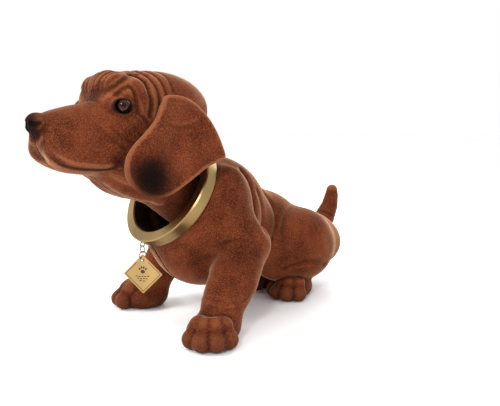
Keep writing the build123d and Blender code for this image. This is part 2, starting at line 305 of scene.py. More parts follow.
SKIN_FOLDS = [    # seen from the side: (forward, up) points, width, depth
    ([(-46, 107), (-47, 92), (-45, 78), (-43, 67)], 2.8, 1.9),
    ([(-54, 93), (-57, 82), (-58, 70), (-55, 57)], 2.6, 1.1),
    ([(-72, 90), (-76, 80), (-76, 68), (-71, 54)], 2.8, 1.2),
    ([(-80, 58), (-87, 70), (-99, 75), (-114, 75)], 2.8, 1.0),
    ([(-89, 28), (-97, 33), (-110, 33), (-122, 28)], 2.6, 1.3),
    ([(-2, 43), (-7, 49), (-14, 53), (-25, 56)], 4.0, 1.0),
]
WRIST_FOLDS = [
    ([(-16, 29), (-6, 26), (8, 28)], 1.0, 0.35),
    ([(-17, 25), (-6, 22), (10, 24)], 1.0, 0.35),
]
BODY_FOLDS_START, WRIST_FOLDS_START, FOLD_FADE = 8, 34, 8   # left of the middle plane
TRUNK_AXIS = [(-170, 40), (-84, 57), (-28, 70), (0, 82)]    # forward, up
WALL_PROBE = 1.4
WELL_RADIUS, WELL_DEPTH = 38, 40                            # the neck's well behind the ring, whose inside skin is darkened as painted shade
# Painted shade: how dark the folds, the lines between the toes and the soles are painted.
DARKEST_FOLD, DARKEST_TOE_LINE, DARKEST_SOLE = 1 / 6, 0.15, 0.8
SOLE_HEIGHT = 1.6
# how dark the well's painted shade is; and the darkening towards the ground: its most, the height where it
# starts, and its span
WELL_SHADE, LOW_DARKENING_MOST, LOW_DARKENING_TOP, LOW_DARKENING_SPAN = 0.9, 0.5, 20, 36


def toe_angles(splay):
    return [math.radians(splay + (number - (TOE_COUNT - 1) / 2) * TOE_FAN) for number in range(TOE_COUNT)]


def paw(forward, left, splay, shape):
    """A foot's pad and its toes, each a knuckle and a round tip below it."""
    length, width, size = shape
    pad = (length * PAD_LENGTH, width * PAD_WIDTH, PAD_THICKNESS)
    yield egg((forward, left, PAD_UP), pad, yaw=splay), PAD_BLEND
    for number, angle in enumerate(toe_angles(splay)):
        ahead, aside = math.cos(angle), math.sin(angle)
        reach = length * (OUTER_TOE_REACH if number in (0, TOE_COUNT - 1) else 1.0)
        knuckle, tip = reach * KNUCKLE_REACH, reach * TIP_REACH
        high = (forward + knuckle * ahead, left + knuckle * aside, KNUCKLE_UP * size)
        low = (forward + tip * ahead, left + tip * aside, TIP_UP * size)
        yield limb([(*high, TOE_RADII[0] * size), (*low, TOE_RADII[1] * size)]), TOE_BLEND
        yield egg(high, (KNUCKLE_RADIUS * size,) * 3), TIP_BLEND
        yield egg(low, [radius * size for radius in TIP_RADII]), TIP_BLEND


def between_toes(f, l, u, foot, splay):
    """1 along the lines between the toes of a foot, for darkening them as painted shade."""
    lines = 0
    for before, after in zip(toe_angles(splay)[:-1], toe_angles(splay)[1:]):
        middle = (before + after) / 2
        along = (f - foot[0]) * math.cos(middle) + (l - foot[1]) * math.sin(middle)
        across = (l - foot[1]) * math.cos(middle) - (f - foot[0]) * math.sin(middle)
        there = (along > TOE_LINE_START) & (along < TOE_LINE_END) & (u < TOE_LINE_TOP)
        lines = lines + bump_line(across, TOE_LINE_WIDTH) * there
    return np.clip(lines, 0, 1)


def side_folds(folds, start):
    """How deep the folds are at a point; they fade in from a distance left of the middle plane."""
    curves = [(side_path_distance(points), width, depth) for points, width, depth in folds]

    def depth_at(f, l, u):
        total = 0.0
        for distance, width, depth in curves:
            total = total + depth * bump_line(distance(f, u), width)
        return total * np.clip((l - start) / FOLD_FADE, 0, 1)

    return depth_at


def ahead_of_ring(f, u):
    """How far a point lies along the way that the ring faces, from the ring's centre."""
    return f * RING_AHEAD[0] + (u - RING_HEIGHT) * RING_AHEAD[1]


def sculpt_half(side, folds):
    """Half of the body with its legs, as one block of clay; the right half too is sculpted as a left one."""
    clay = Clay(BODY_LOW, BODY_HIGH, BODY_STEP)
    for form, blend in [NECK_STUB, *TORSO, SHOULDER, FRONT_LEGS[side], ELBOW, THIGH, HAUNCH]:
        clay.add(form, blend)
    clay.cut(*THIGH_HOLLOW)
    for form, blend in [*paw(*FRONT_PAWS[side], PAW_SPLAY, PAW_SIZE), *paw(*HIND_PAW, HIND_SPLAY, HIND_SIZE)]:
        clay.add(form, blend)
    wrists = side_folds(WRIST_FOLDS, WRIST_FOLDS_START)
    clay.press(lambda f, l, u: folds(f, l, u) + wrists(f, l, u))
    clay.keep_skin()
    f, l, u = clay.places()
    hollow = np.maximum(np.maximum(clay.field + BODY_WALL, HOLLOW_REAR - f), HOLLOW_FLOOR - u)
    clay.field = np.maximum(clay.field, ahead_of_ring(f, u) - RING_BACK_FACE)
    clay.field = smooth_max(clay.field, -u, SOLE_ROUNDING)
    clay.field = np.maximum(np.maximum(clay.field, -hollow), -SEAM_PLAY - l)
    return clay


def on_inside_skin(clay, on_left):
    """True for points on the inside skin, whose wall lies outwards of them, away from the trunk's axis."""
    f, l, u = on_left.T
    out = np.stack([np.zeros_like(f), l, u - np.interp(f, *zip(*TRUNK_AXIS))], axis=1)
    out /= np.linalg.norm(out, axis=1)[:, None] + TINY
    cells = np.round((on_left + WALL_PROBE * out - clay.low) / clay.step).astype(int)
    cells = np.clip(cells, 0, np.array(clay.field.shape) - 1)
    return clay.field[tuple(cells.T)] < 0


def build_body():
    folds = side_folds(SKIN_FOLDS, BODY_FOLDS_START)
    pieces = []
    for side in ("left", "right"):
        clay = sculpt_half(side, folds)
        piece, points = clay.mesh(f"body_half_{side}", straight_points, mirrored=side == "right")
        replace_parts(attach(piece, "root"), f"body_shell_{side}")
        on_left = points * (1, -1 if side == "right" else 1, 1)
        f, l, u = on_left.T
        toe_lines = np.maximum(between_toes(f, l, u, FRONT_PAWS[side], PAW_SPLAY),
                               between_toes(f, l, u, HIND_PAW, HIND_SPLAY))
        # painted shade along the folds, between the toes and along the soles
        folded = np.maximum(folds(f, l, u) * DARKEST_FOLD, toe_lines * DARKEST_TOE_LINE)
        soles = np.clip((SOLE_HEIGHT - u) / SOLE_HEIGHT, 0, 1) * DARKEST_SOLE
        paint_relief_shading(piece, clay, on_left, np.maximum(folded, soles))
        # painted shade on the inside skin of the neck's well behind the ring
        off_axis = np.sqrt(l ** 2 + (f * RING_AHEAD[1] - (u - RING_HEIGHT) * RING_AHEAD[0]) ** 2)
        near_ring = (off_axis < WELL_RADIUS) & (RING_BACK_FACE - ahead_of_ring(f, u) < WELL_DEPTH)
        in_well = near_ring & on_inside_skin(clay, on_left)
        # darker towards the ground
        low_darkening = np.clip((LOW_DARKENING_TOP - u) / LOW_DARKENING_SPAN, 0, LOW_DARKENING_MOST)
        give_attribute(piece, "sprayed_black_and_shade", np.maximum(low_darkening, in_well * WELL_SHADE))
        pieces.append(piece)
    return pieces


# ---------------------------------------------------------------- head
NECK_SLOPE = math.radians(36.0)


def along_neck(distance):
    return distance * math.cos(NECK_SLOPE), 0.0, RING_HEIGHT + distance * math.sin(NECK_SLOPE)


HEAD_LOW, HEAD_HIGH, HEAD_STEP = (-68, -1.5, 40), (110, 42, 184), 0.7
HEAD_TOP = [        # forward, up
    (-25, 149), (-23, 158), (-19, 164), (-12, 169.5), (-4, 173.3), (8, 176), (22, 176.4), (36, 175.4),
    (46, 173.6), (53, 170.5), (58.5, 165.0), (63.0, 158.6), (68, 154.4), (73, 152.8), (80, 151.4),
    (90, 148.8), (97, 146.2), (100.5, 143.5),
]
HEAD_BOTTOM = [     # forward, up
    (-25, 149), (-21.5, 141.5), (-14, 132), (-4, 122), (9, 110), (22, 98), (33, 92.5), (40, 93.2),
    (48, 96.5), (57, 102), (66, 107.3), (74, 108.6), (82, 110), (88.5, 112.4), (94, 117),
    (97.5, 122.5), (100.5, 129),
]
HEAD_WIDTH = [      # forward, half width
    (-25, 2), (-21, 14), (-14, 21.5), (0, 28), (14, 30.5), (28, 30.5), (42, 28.5), (54, 25.5),
    (63, 23.5), (72, 22), (82, 20), (90, 17.5), (95.5, 14), (98.5, 10.5), (100.5, 7),
]
HEAD_LEAN = [(-25, 0), (30, 0.02), (55, 0.10), (75, 0.24), (101, 0.22)]     # how much its top narrows
SECTION_POWER = 2.3         # 2 would make the head's sections elliptical; more is squarer
THINNEST, LEAN_LIMIT, CORE_RATIO = 0.4, 1.2, 0.2
MOUTH = [           # forward, up
    (101, 126.5), (99.5, 124.2), (96.5, 121.2), (92, 118.2), (87, 116.2), (81, 115.0), (75, 114.4),
    (68, 114.0), (63, 114.6),
]
EYE = (55.5, 21.8, 151.2)
BROW_FOLDS = [      # seen from the side: (forward, up) points, width, depth
    ([(66, 155.5), (61, 161), (55, 166), (48, 169.8), (42, 170.8), (37.5, 167.5), (36.8, 161),
      (37.5, 153), (39.5, 146)], 1.5, 1.7),
    ([(58.5, 158.5), (54.5, 162), (51, 163), (48.5, 160.5), (47, 155), (46.5, 149)], 1.6, 1.2),
    ([(65.5, 158.5), (58, 167.5), (48, 173.5), (40, 176)], 1.5, 0.8),
    ([(34, 175), (31.5, 169), (30.5, 161), (31.5, 152), (34, 144)], 1.5, 1.35),
    ([(27, 176), (25, 169), (25, 160), (27, 152)], 1.5, 1.2),
    ([(19, 176), (18, 170), (19, 162)], 1.5, 0.7),
]
CHEEK_FOLDS = [
    ([(70, 138), (66, 133), (62, 129), (58, 125.5)], 1.3, 0.35),
    ([(64, 139), (60, 134), (56, 131), (52, 128)], 1.3, 0.3),
    ([(47, 147), (43, 143), (41, 137)], 1.2, 0.5),
    ([(54, 143), (50, 139), (47, 134)], 1.2, 0.3),
]
BROW_FOLDS_START, CHEEK_FOLDS_START = -6, 8
MOUTH_DEPTH, MOUTH_WIDTH, MOUTH_FRONT_SHARE = 1.9, 1.0, 0.12
JAW_DEPTH, CORNER_DEPTH = 1.5, 1.4
CORNER, CORNER_REACH = (62, 117.5), (3.5, 4.5)              # forward, up
FOREHEAD_FOLDS = [(2.2, 1.1, 0.75), (6.6, 1.2, 0.75), (10.8, 1.2, 0.525)]   # aside, width, depth
NOSE_BLACK = (103.0, 0, 139.2), 8.6, 1.1                    # centre, radius and softness of the soot
EYE_BLACK = (0.3, 0, 0), 6.2, 0.35
EYE_BLACK_STRETCH = (0.84, 1, 1.16)
# painted shadow above the corner of the mouth: centre, radius and softness, then how dark
MOUTH_CORNER_SHADE = (61.5, 24, 117.5), 4.5, 1.8
MOUTH_CORNER_DARKNESS = 0.55
NECK_END, NECK_RADIUS = -72, 17.4
NECK_BORE = limb([(*along_neck(-100), 16.0), (*along_neck(-4), 16.2)]), 0.5
HEAD_SEAM_PLAY = 0.07


def sliced(top, bottom, width, lean):
    """A form given by its top line, bottom line and half width along the way ahead."""
    def lookup(points, f):
        return np.interp(f, *smooth_curve(points).T)

    def distance(f, l, u):
        high, low, half = lookup(top, f), lookup(bottom, f), np.maximum(lookup(width, f), THINNEST)
        middle, rise = (high + low) / 2, np.maximum((high - low) / 2, THINNEST)
        t = (u - middle) / rise
        narrowing = 1 - lookup(lean, f) * np.clip(t, -LEAN_LIMIT, LEAN_LIMIT)
        ratio = np.abs(l / (half * narrowing)) ** SECTION_POWER + np.abs(t) ** SECTION_POWER
        ratio = ratio ** (1 / SECTION_POWER) + TINY
        d = np.sqrt(l ** 2 + (u - middle) ** 2) * (1 - 1 / np.maximum(ratio, CORE_RATIO))
        return np.maximum(d, np.maximum(f - top[-1][0], top[0][0] - f))

    reach = max(value for _, value in width)
    low = (top[0][0], -reach, min(value for _, value in bottom))
    high = (top[-1][0], reach, max(value for _, value in top))
    return distance, np.array(low), np.array(high)


def near_eye(ahead, aside, up):
    return EYE[0] + ahead, EYE[1] + aside, EYE[2] + up


HEAD_STEPS = [      # what is done, the form, and its blend
    (Clay.add, sliced(HEAD_TOP, HEAD_BOTTOM, HEAD_WIDTH, HEAD_LEAN), 1),
    (Clay.add, limb([(*along_neck(-90), NECK_RADIUS), (*along_neck(0), 17.9), (12, 0, 103.5, 19.5),
                     (24, 0, 118, 20)]), 9),
    (Clay.add, egg((99.5, 0, 140.5), (5.8, 8.6, 6.6)), 2.2),                    # the nose's leather
    (Clay.add, egg((51, 12, 161), (12, 11, 11.5), pitch=-30), 7.0),             # brow over the eye
    (Clay.add, egg((52, 0, 163), (12, 10, 10.5), pitch=-35), 6.0),              # forehead between the brows
    (Clay.add, egg((86, 9, 127), (14, 9, 10), pitch=-12), 5.0),                 # full upper lip
    (Clay.add, egg((48, 20, 118), (20, 9, 14), pitch=14), 6.0),                 # cheek and jaw hinge
    (Clay.add, limb([(56, 9, 106, 4.0), (46, 11, 101, 5.0), (34, 11, 96.5, 5.0),
                     (20, 10, 92, 4.0)]), 4.0),                                 # loose throat skin
    (Clay.cut, egg(near_eye(1.0, 5.5, 0), (8.6, 4.6, 7.4)), 4.0),               # eye hollow
    (Clay.add, egg(near_eye(0, -1.4, 0), (7.0, 4.6, 5.8), pitch=12), 2.0),      # lids
    (Clay.cut, egg(near_eye(0.3, 1.2, 0), (5.3, 8.0, 4.1), pitch=12), 1.2),     # and their opening
    (Clay.cut, limb([(104.6, 3.6, 141.0, 1.4), (103.8, 6.2, 140.2, 1.7),
                     (101.0, 8.9, 141.4, 1.2)]), 0.8),                          # nostril
    (Clay.cut, limb([(108, 0, 133.5, 0.8), (104.5, 0, 138.0, 0.8)]), 0.8),      # groove under the nose
]


def fade(value, start, span, least=0.0):
    """From its least to 1 as the value goes from the start over the span, which may be negative."""
    return np.clip((value - start) / span, least, 1)


def head_reliefs():
    """The depth functions of everything that is pressed into the head, by name."""
    mouth_distance = side_path_distance(MOUTH)
    mouth_line = smooth_curve(MOUTH)[::-1]

    def mouth(f, l, u):
        ends = fade(f, 59, 6) * fade(f, 99.5, -8, MOUTH_FRONT_SHARE)
        return MOUTH_DEPTH * bump_line(mouth_distance(f, u), MOUTH_WIDTH) * ends

    def forehead(f, l, u):
        """Upright folds that run from the stop back over the skull, set by the distance aside."""
        aside = l - 0.10 * (60 - f)
        folds = sum(depth * bump_line(aside - place, width) for place, width, depth in FOREHEAD_FOLDS)
        return folds * fade(u, 158, 6) * fade(f, 66, -10) * fade(f, 22, 12)

    def jaw(f, l, u):
        """The lower jaw is narrower than the lip above it."""
        below = fade(u, np.interp(f, mouth_line[:, 0], mouth_line[:, 1]), -2.2)
        return JAW_DEPTH * below * fade(f, 54, 10) * fade(f, 98, -12)

    def corner(f, l, u):
        """The dimple at the corner of the mouth."""
        ahead, above = bump_line(f - CORNER[0], CORNER_REACH[0]), bump_line(u - CORNER[1], CORNER_REACH[1])
        return CORNER_DEPTH * ahead * above * fade(l, 8, 6)

    brows = side_folds(BROW_FOLDS, BROW_FOLDS_START)
    cheeks = side_folds(CHEEK_FOLDS, CHEEK_FOLDS_START)
    return {"brows": brows, "cheeks": cheeks, "mouth": mouth, "forehead": forehead, "jaw": jaw,
            "corner": corner}


HEAD_CREASE_SHADE = {"brows": 5, "cheeks": 3, "mouth": 2.6, "forehead": 3}      # the depth at which the painted shade in each is darkest


def sculpt_head(reliefs):
    clay = Clay(HEAD_LOW, HEAD_HIGH, HEAD_STEP)
    for work, form, blend in HEAD_STEPS:
        work(clay, form, blend)
    clay.press(lambda f, l, u: sum(depth_at(f, l, u) for depth_at in reliefs.values()))
    clay.keep_skin()
    f, l, u = clay.places()
    along = f * math.cos(NECK_SLOPE) + (u - RING_HEIGHT) * math.sin(NECK_SLOPE)
    clay.field = np.maximum(clay.field, NECK_END - along)
    clay.cut(*NECK_BORE)
    clay.field = np.maximum(clay.field, -HEAD_SEAM_PLAY - l)
    return clay


def build_head():
    reliefs = head_reliefs()
    clay = sculpt_head(reliefs)
    pieces = []
    for side, sign in (("left", 1), ("right", -1)):
        piece, points = clay.mesh(f"head_half_{side}", turned_points, mirrored=sign < 0)
        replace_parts(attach(piece, "head"), f"head_shell_{side}")
        on_left = points * (1, sign, 1)
        nose = spot_at(points, *NOSE_BLACK)
        eye_rim = spot_at((on_left - EYE) * EYE_BLACK_STRETCH, *EYE_BLACK)
        # painted shadow at the corner of the mouth, beside the black sprayed on the nose and round the eyes
        mouth_corner_shade = MOUTH_CORNER_DARKNESS * spot_at(on_left, *MOUTH_CORNER_SHADE)
        give_attribute(piece, "sprayed_black_and_shade", np.max([nose, eye_rim, mouth_corner_shade], axis=0))
        # painted shade along the brow, cheek and forehead folds and the mouth line
        creases = [reliefs[name](*on_left.T) / darkest for name, darkest in HEAD_CREASE_SHADE.items()]
        paint_relief_shading(piece, clay, on_left, np.max(creases, axis=0))
        pieces.append(piece)
    return pieces


# ---------------------------------------------------------------- ears
EAR_LOW, EAR_HIGH, EAR_STEP = (-17, -10, 91), (68, 10, 164), 0.7
EAR_MIDDLE = np.array([20.0, 40.6, 125.0])
EAR_FLARE_BACK, EAR_FLARE_DOWN = 0.14, 0.06
EAR_TOP, EAR_DROP, RIGHT_EAR_BACK = 158.0, 50.0, 19.0       # the right ear hangs further back
FURTHEST_BACK = 1.3                                         # as a share of that
EAR_OUTLINE = [     # forward, up, seen from the side
    (36.5, 158.5), (27, 158.5), (17, 155), (7, 148), (-1.5, 136), (-7.5, 121.5), (-5.5, 118), (9, 112),
    (24, 103), (36, 97), (46, 96), (56, 99), (63, 106), (65.5, 113), (64, 121.5), (59, 128.5),
    (52, 135), (44.5, 143), (39.5, 152),
]
EAR_WAVES = [       # height, place and reach forward, place and reach up, and how far the wave slants
    (1.5, 16, 16, 130, 16, 0.0),
    (-2.4, 30, 9, 130, 19, 0.35),
    (1.6, 44, 8, 128, 18, 0.35),
    (-1.4, 48, 13, 110, 11, 0.0),
]
EDGE_CURL, EDGE_CURL_WIDTH = 1.2, 8
EAR_HALF_THICKNESS, EAR_ROUNDING, EDGE_INSET, FACE_INSET = 2.2, 2.2, 2.6, 1.9
ROOT_PLACE, ROOT_RADIUS, ROOT_STRETCH, ROOT_BLEND = (26, -5, 149.5), 7.0, 1.5, 5.0
ROOT_HALF_LENGTH = 5.5
TUCK, TUCK_FROM, TUCK_SPAN, TUCK_BACK = 6.5, 140, 17, 0.9   # the ear's top leans in to the skull
EAR_BLACK_STRETCH = (1, 0, 0.95)
EAR_BLACK = np.multiply((48.5, 0, 108.5), EAR_BLACK_STRETCH), 13.0, 2.3
OUTLINE_STEPS = 5


def outline_distance(points):
    """Signed distance in the plane to a closed smooth outline, negative inside."""
    loop = np.vstack([points[-2:], points, points[:3]])
    curve = smooth_curve(loop, OUTLINE_STEPS)[2 * OUTLINE_STEPS:-2 * OUTLINE_STEPS]

    def distance(x, y):
        best, inside = None, np.zeros(np.broadcast(x, y).shape, bool)
        ring = np.vstack([curve, curve[:1]])
        for (ax, ay), (bx, by) in zip(ring[:-1], ring[1:]):
            dx, dy = bx - ax, by - ay
            t = np.clip(((x - ax) * dx + (y - ay) * dy) / (dx * dx + dy * dy + TINY), 0, 1)
            d = (x - ax - t * dx) ** 2 + (y - ay - t * dy) ** 2
            best = d if best is None else np.minimum(best, d)
            if abs(dy) > TINY:
                inside ^= ((ay > y) != (by > y)) & (x < dx * (y - ay) / dy + ax)
        return np.where(inside, -np.sqrt(best), np.sqrt(best))

    return distance


def sculpt_ear():
    """The left ear, sculpted flat: forward and up in its plane, and out of it along the block's left."""
    clay = Clay(EAR_LOW, EAR_HIGH, EAR_STEP)
    f, w, u = clay.places()
    edge = outline_distance(np.array(EAR_OUTLINE))(f, u)
    middle = EDGE_CURL * np.clip((edge + EDGE_CURL_WIDTH) / EDGE_CURL_WIDTH, 0, 1) ** 2
    for height, ahead, reach, up, rise, slant in EAR_WAVES:
        along = (f - ahead + slant * (u - EAR_MIDDLE[2])) / reach
        middle = middle + height * np.exp(-(along ** 2 + ((u - up) / rise) ** 2))
    past_edge = edge + EDGE_INSET
    past_face = np.abs(w - middle) - EAR_HALF_THICKNESS + FACE_INSET
    rounded = np.sqrt(np.maximum(past_edge, 0) ** 2 + np.maximum(past_face, 0) ** 2) - EAR_ROUNDING
    leaf = rounded + np.minimum(np.maximum(past_edge, past_face), 0)
    root = np.sqrt(((f - ROOT_PLACE[0]) / ROOT_STRETCH) ** 2 + (u - ROOT_PLACE[2]) ** 2) - ROOT_RADIUS
    root = np.maximum(root, np.abs(w - ROOT_PLACE[1]) - ROOT_HALF_LENGTH)
    clay.field = smooth_min(leaf, root, ROOT_BLEND).astype(np.float32)
    clay.keep_skin()
    return clay


def ear_points(points, sign):
    """From the flat ear to its place on the head, flared out at its rear and lower edges."""
    f, w, u = points.T
    if sign < 0:
        f = f - RIGHT_EAR_BACK * np.clip((EAR_TOP - u) / EAR_DROP, 0, FURTHEST_BACK)
    tuck = TUCK * np.clip((u - TUCK_FROM) / TUCK_SPAN, 0, 1) ** 2
    f = f - TUCK_BACK * tuck
    flare = EAR_FLARE_BACK * (f - EAR_MIDDLE[0]) + EAR_FLARE_DOWN * (u - EAR_MIDDLE[2])
    left = EAR_MIDDLE[1] - tuck - flare + w
    lean = 1 / math.sqrt(1 + EAR_FLARE_BACK ** 2 + EAR_FLARE_DOWN ** 2)
    return np.stack([f + w * EAR_FLARE_BACK * lean, sign * left, u + w * EAR_FLARE_DOWN * lean], axis=1)


def build_ears():
    clay = sculpt_ear()
    pieces = []
    for side, sign in (("left", 1), ("right", -1)):
        piece, points = clay.mesh(f"ear_flap_{side}", lambda flat, s=sign: turned_points(ear_points(flat, s)))
        if sign < 0:
            piece.data.flip_normals()
        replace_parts(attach(piece, "head"), f"ear_{side}")
        give_attribute(piece, "sprayed_black_and_shade", spot_at(points * EAR_BLACK_STRETCH, *EAR_BLACK))
        paint_relief_shading(piece, clay, points, np.zeros(len(points)))
        pieces.append(piece)
    return pieces


# ---------------------------------------------------------------- materials
def material(name, **settings):
    made = bpy.data.materials.new(name)
    made.use_nodes = True
    shader = made.node_tree.nodes["Principled BSDF"]
    for socket, value in settings.items():
        shader.inputs[socket.replace("_", " ")].default_value = value
    return made, made.node_tree, shader


def colour(r, g, b):
    """sRGB 0 to 255 as linear RGBA."""
    return (*[((c / 255 + 0.055) / 1.055) ** 2.4 if c > 10 else c / 3294.6 for c in (r, g, b)], 1)


def shaded(base, factor):
    return colour(*[c * factor for c in base])


def grey(value):
    return value, value, value, 1


def noise(tree, scale, detail=2.0, roughness=0.5):
    place = tree.nodes.new("ShaderNodeTexCoord")
    node = tree.nodes.new("ShaderNodeTexNoise")
    node.inputs["Scale"].default_value = scale
    node.inputs["Detail"].default_value = detail
    node.inputs["Roughness"].default_value = roughness
    tree.links.new(place.outputs["Object"], node.inputs["Vector"])
    return node.outputs["Fac"]


def ramp(tree, value, *stops):
    node = tree.nodes.new("ShaderNodeValToRGB")
    while len(node.color_ramp.elements) < len(stops):
        node.color_ramp.elements.new(0.5)
    for element, (position, shade) in zip(node.color_ramp.elements, stops):
        element.position, element.color = position, shade
    tree.links.new(value, node.inputs["Fac"])
    return node.outputs["Color"]


def mix(tree, factor, a, b, kind="MIX"):
    node = tree.nodes.new("ShaderNodeMix")
    node.data_type, node.blend_type = "RGBA", kind
    for socket, value in ((node.inputs[0], factor), (node.inputs[6], a), (node.inputs[7], b)):
        if isinstance(value, bpy.types.NodeSocket):
            tree.links.new(value, socket)
        else:
            socket.default_value = value
    return node.outputs[2]


def attribute(tree, name):
    node = tree.nodes.new("ShaderNodeAttribute")
    node.attribute_name = name
    return node.outputs["Fac"]


def bump(tree, shader, height, strength, distance):
    node = tree.nodes.new("ShaderNodeBump")
    node.inputs["Strength"].default_value = strength
    node.inputs["Distance"].default_value = distance
    tree.links.new(height, node.inputs["Height"])
    tree.links.new(node.outputs["Normal"], shader.inputs["Normal"])


def flock():
    """Short brown velvet: speckled, glowing where it is seen along its pile, sprayed black in places,
    lightened on its ridges as painted highlight and darkened in its creases and some recesses as painted
    shade.
    """
    made, tree, shader = material("flocked_velvet", Roughness=0.95, Sheen_Roughness=0.3,
                                  Specular_IOR_Level=0.05, Sheen_Tint=colour(255, 206, 165))
    speckle = noise(tree, 1150, 3, 0.7)
    nap = noise(tree, 42, 5, 0.6)
    fibres = ramp(tree, speckle, (0.36, colour(42, 18, 10)), (0.5, colour(86, 39, 21)),
                  (0.66, colour(138, 70, 42)))
    patches = ramp(tree, nap, (0.36, colour(52, 22, 12)), (0.62, colour(130, 67, 40)))
    black = ramp(tree, speckle, (0.35, colour(8, 5, 5)), (0.7, colour(26, 15, 12)))
    brown = mix(tree, 0.4, fibres, patches)
    # painted highlight on the ridges
    brown = mix(tree, attribute(tree, "ridge_highlight"), brown, colour(158, 96, 64))
    # painted shade in the creases, hollows and soles
    brown = mix(tree, attribute(tree, "crease_shade"), brown, colour(30, 11, 6))
    # black spray paint, with painted shade at the mouth corners and inside the neck's well, and darker
    # towards the ground
    tree.links.new(mix(tree, attribute(tree, "sprayed_black_and_shade"), brown, black), shader.inputs["Base Color"])
    glow = ramp(tree, attribute(tree, "sprayed_black_and_shade"), (0.0, grey(0.72)), (0.6, grey(0.12)))
    tree.links.new(glow, shader.inputs["Sheen Weight"])
    bump(tree, shader, speckle, 0.6, 0.0004)
    return made


def gold(name, roughness, base):
    made, tree, shader = material(name, Metallic=1.0)
    shine = noise(tree, 34, 2, 0.4)
    grain = noise(tree, 900, 3, 0.5)
    tree.links.new(ramp(tree, shine, (0.3, shaded(base, 0.80)), (0.7, colour(*base))),
                   shader.inputs["Base Color"])
    tree.links.new(ramp(tree, grain, (0.3, grey(roughness * 0.9)), (0.75, grey(roughness * 1.2))),
                   shader.inputs["Roughness"])
    bump(tree, shader, grain, 0.05, 0.0001)
    return made


def plain_metal(name, base, roughness):
    made, tree, shader = material(name, Metallic=1.0)
    grain = noise(tree, 420, 4, 0.6)
    tree.links.new(ramp(tree, grain, (0.3, shaded(base, 0.72)), (0.7, colour(*base))),
                   shader.inputs["Base Color"])
    tree.links.new(ramp(tree, grain, (0.3, grey(roughness * 0.75)), (0.7, grey(roughness * 1.3))),
                   shader.inputs["Roughness"])
    return made


def glass_eye():
    """Its pupil, iris and dark edge are bands of the angle from the gaze, as a share of 90 degrees."""
    made, tree, shader = material("brown_glass_eye", Roughness=0.05, Specular_IOR_Level=0.22)
    painted = ramp(tree, attribute(tree, "gaze"), (0.16, colour(4, 3, 3)), (0.21, colour(46, 18, 9)),
                   (0.36, colour(84, 36, 18)), (0.42, colour(14, 7, 5)), (0.52, colour(20, 11, 8)))
    flecks = ramp(tree, noise(tree, 2600, 3, 0.7), (0.35, colour(110, 110, 110)),
                  (0.65, colour(255, 240, 225)))
    tree.links.new(mix(tree, 0.5, painted, flecks, "MULTIPLY"), shader.inputs["Base Color"])
    return made


def dark(name, base, roughness, scale):
    made, tree, shader = material(name, Roughness=roughness)
    grain = noise(tree, scale, 3, 0.6)
    tree.links.new(ramp(tree, grain, (0.3, shaded(base, 0.5)), (0.7, colour(*base))),
                   shader.inputs["Base Color"])
    bump(tree, shader, grain, 0.3, 0.0002)
    return made


FLOCK = flock()
RING_GOLD = gold("antique_gold_ring", 0.30, (158, 130, 84))
TAG_GOLD = gold("satin_gold_tag", 0.38, (188, 154, 100))
WIRE_GOLD = gold("gold_wire", 0.25, (170, 138, 84))
STEEL = plain_metal("steel_wire_grey", (150, 150, 148), 0.35)
WEIGHT = plain_metal("weight_grey_steel", (110, 110, 108), 0.5)
EYE_GLASS = glass_eye()
# painted shade for the ring's bore and sleeve, inside the neck's hollow
RING_BORE_SHADE = dark("painted_shade_ring_bore", (38, 24, 16), 0.5, 300)
ENGRAVING = dark("dark_engraving", (52, 34, 18), 0.55, 900)
BLACK_PLASTIC = dark("black_plug", (30, 30, 30), 0.45, 700)


def dress(piece, made):
    piece.data.materials.clear()
    piece.data.materials.append(made)


def mesh_piece(shape, name):
    """A new object with the faces of a bmesh."""
    mesh = bpy.data.meshes.new(name)
    shape.to_mesh(mesh)
    shape.free()
    piece = bpy.data.objects.new(name, mesh)
    bpy.context.scene.collection.objects.link(piece)
    return piece


# ---------------------------------------------------------------- eyes
EYE_GAZE = np.array([0.50, 0.86, 0.08])
EYEBALL = (EYE[0] - 1.5, EYE[1] - 2.3, EYE[2] + 0.3)
CORNEA_RISE, CORNEA_ANGLE = 0.03, 60          # share of the radius, and degrees from the gaze


def build_eyes():
    """Glossy brown eyes with a raised cornea; their pupil and iris are painted by angle from the gaze."""
    for side, sign in (("left", 1), ("right", -1)):
        low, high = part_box(f"eye_{side}")
        radius = (high[2] - low[2]) / 2
        gaze = turned_points([EYE_GAZE * (1, sign, 1)]) - turned_points([[0, 0, 0]])
        gaze = gaze[0] / np.linalg.norm(gaze)
        centre = turned_points([np.multiply(EYEBALL, (1, sign, 1))])[0]
        shape = bmesh.new()
        bmesh.ops.create_uvsphere(shape, u_segments=56, v_segments=36, radius=radius)
        ball = mesh_piece(shape, f"eyeball_{side}")
        points = np.array([vertex.co for vertex in ball.data.vertices])
        angle = np.degrees(np.arccos(np.clip(points @ gaze / radius, -1, 1)))
        points *= (1 + CORNEA_RISE * np.clip(1 - angle / CORNEA_ANGLE, 0, 1))[:, None]
        ball.data.vertices.foreach_set("co", (points + centre).ravel())
        ball.data.shade_smooth()
        give_attribute(ball, "gaze", angle / 90)
        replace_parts(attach(ball, "head"), f"eye_{side}")
        dress(ball, EYE_GLASS)


# ---------------------------------------------------------------- tail
TAIL_LOW, TAIL_HIGH, TAIL_STEP = (-194, -16, 38), (-138, 16, 96), 0.8
TAIL = limb([(-154, 0, 46, 10.5), (-162, 0, 50.5, 10.6), (-171, 0, 58, 9.3), (-177.5, 0, 67.5, 7.6),
             (-180.3, 0, 77, 6.2), (-180.8, 0, 82, 5.2)])
TAIL_FOLD = (-171, 60)                        # forward, up
TAIL_FOLD_SLOPE, TAIL_FOLD_WIDTH, TAIL_FOLD_DEPTH, TAIL_FOLD_SHADE = 0.5, 1.6, 0.35, 0.4


